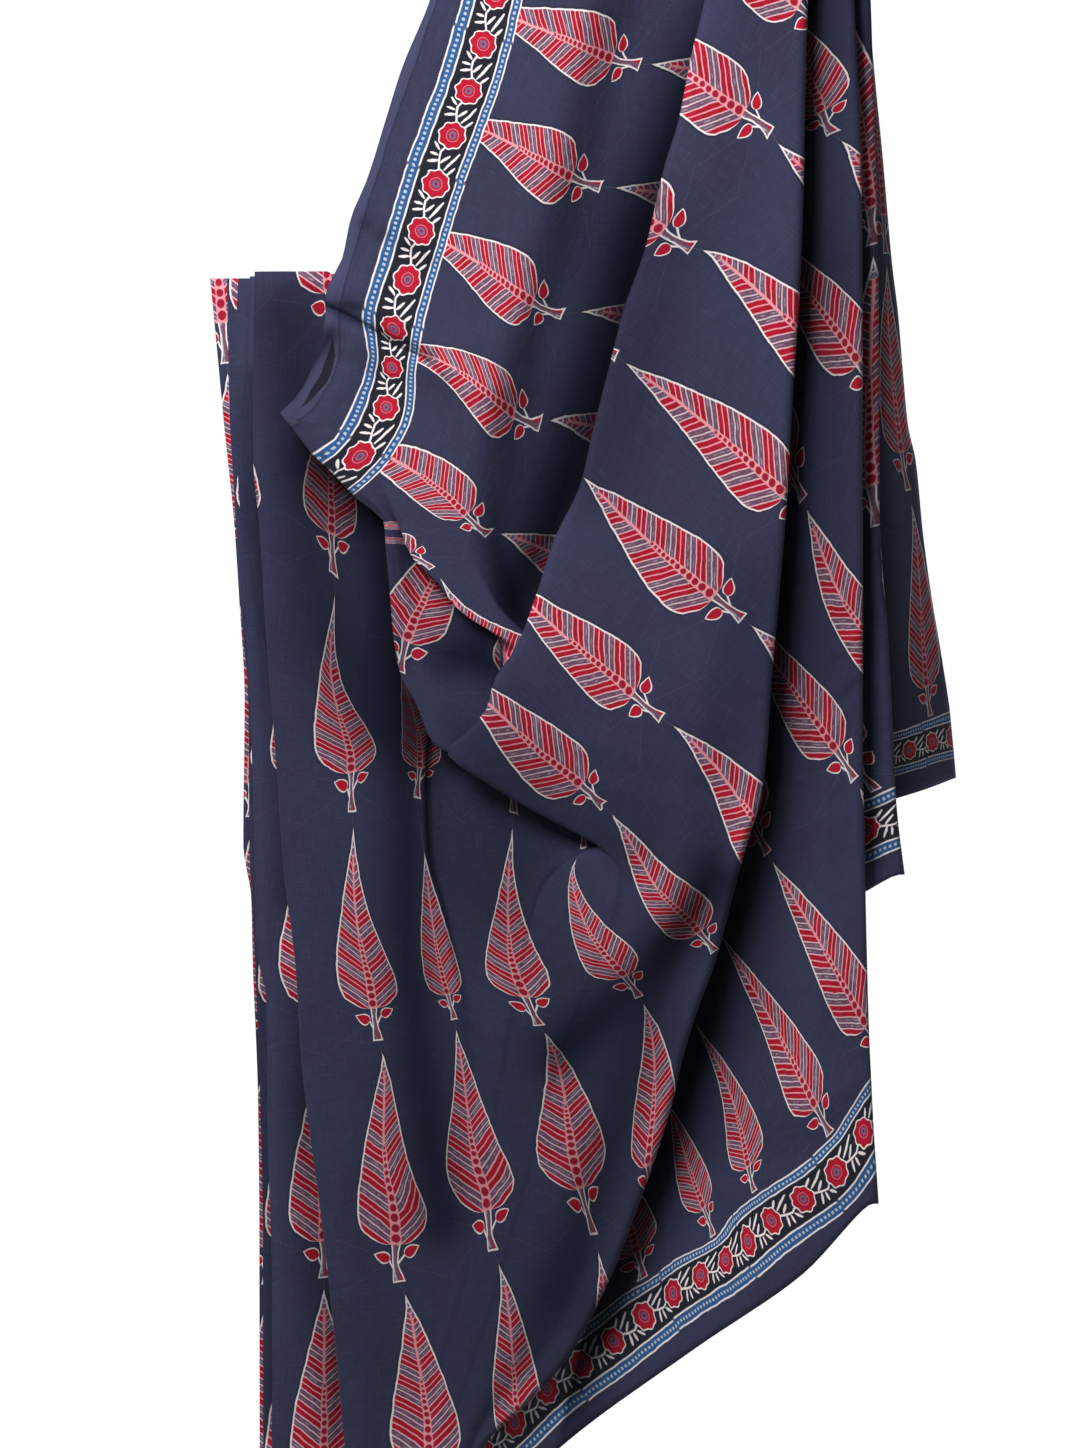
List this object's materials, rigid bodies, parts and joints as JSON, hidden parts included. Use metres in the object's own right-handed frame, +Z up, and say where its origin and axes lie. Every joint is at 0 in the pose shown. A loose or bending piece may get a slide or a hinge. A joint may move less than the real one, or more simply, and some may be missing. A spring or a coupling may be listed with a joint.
{
  "type": "hanging block-printed ajrakh cloth",
  "caption": "Length of indigo block-printed cotton hung by its top edge, pleated in a flat stack at one side and drawn up as a sash that falls in a cascade of folds.",
  "frame": {"origin": "middle of the cloth's top edge, where something above holds it", "axes": "+Z up, -Y towards the viewer who sees the printed face, +X to that viewer's right"},
  "size_m": [0.5674, 0.1313, 1.2702],
  "materials": {
    "printed_cotton": "soft matt indigo cotton with a faint sheen, block-printed with red leaves and a flowered border"
  },
  "bodies": {
    "root": {"cloth": "printed_cotton"}
  },
  "joints": []
}
